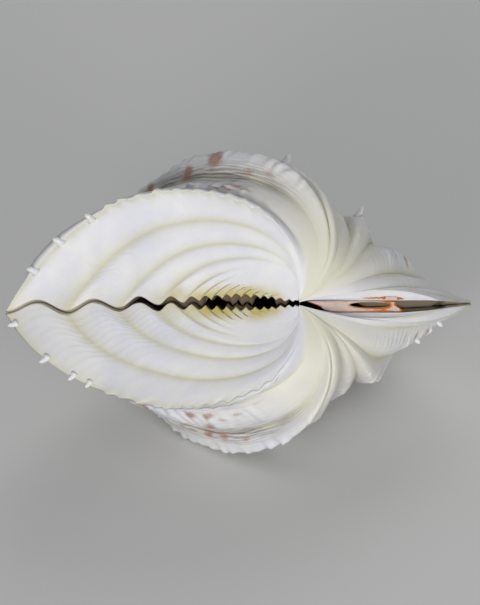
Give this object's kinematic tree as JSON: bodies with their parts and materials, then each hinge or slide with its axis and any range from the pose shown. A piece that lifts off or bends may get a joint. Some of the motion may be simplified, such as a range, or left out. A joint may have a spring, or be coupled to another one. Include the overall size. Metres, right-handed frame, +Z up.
{
  "type": "china clam shell",
  "caption": "Closed pair of hollow clam valves with strong folded ribs, a toothed heart-shaped front face and a ligament in the hinge, lying on one side.",
  "frame": {"origin": "middle of the base, on the surface that the shell lies on", "axes": "+Z up; +X towards the rear end of the hinge; -Y the side that the hinge and the front face look to"},
  "size_m": [0.2024, 0.1382, 0.1222],
  "materials": {
    "porcelain_shell": "satin calcium carbonate, chalky in the grooves, with faint ochre marks",
    "dry_ligament": "dry horny strip"
  },
  "bodies": {
    "root": {"right_valve": "porcelain_shell", "left_valve": "porcelain_shell", "ligament": "dry_ligament"}
  },
  "joints": []
}
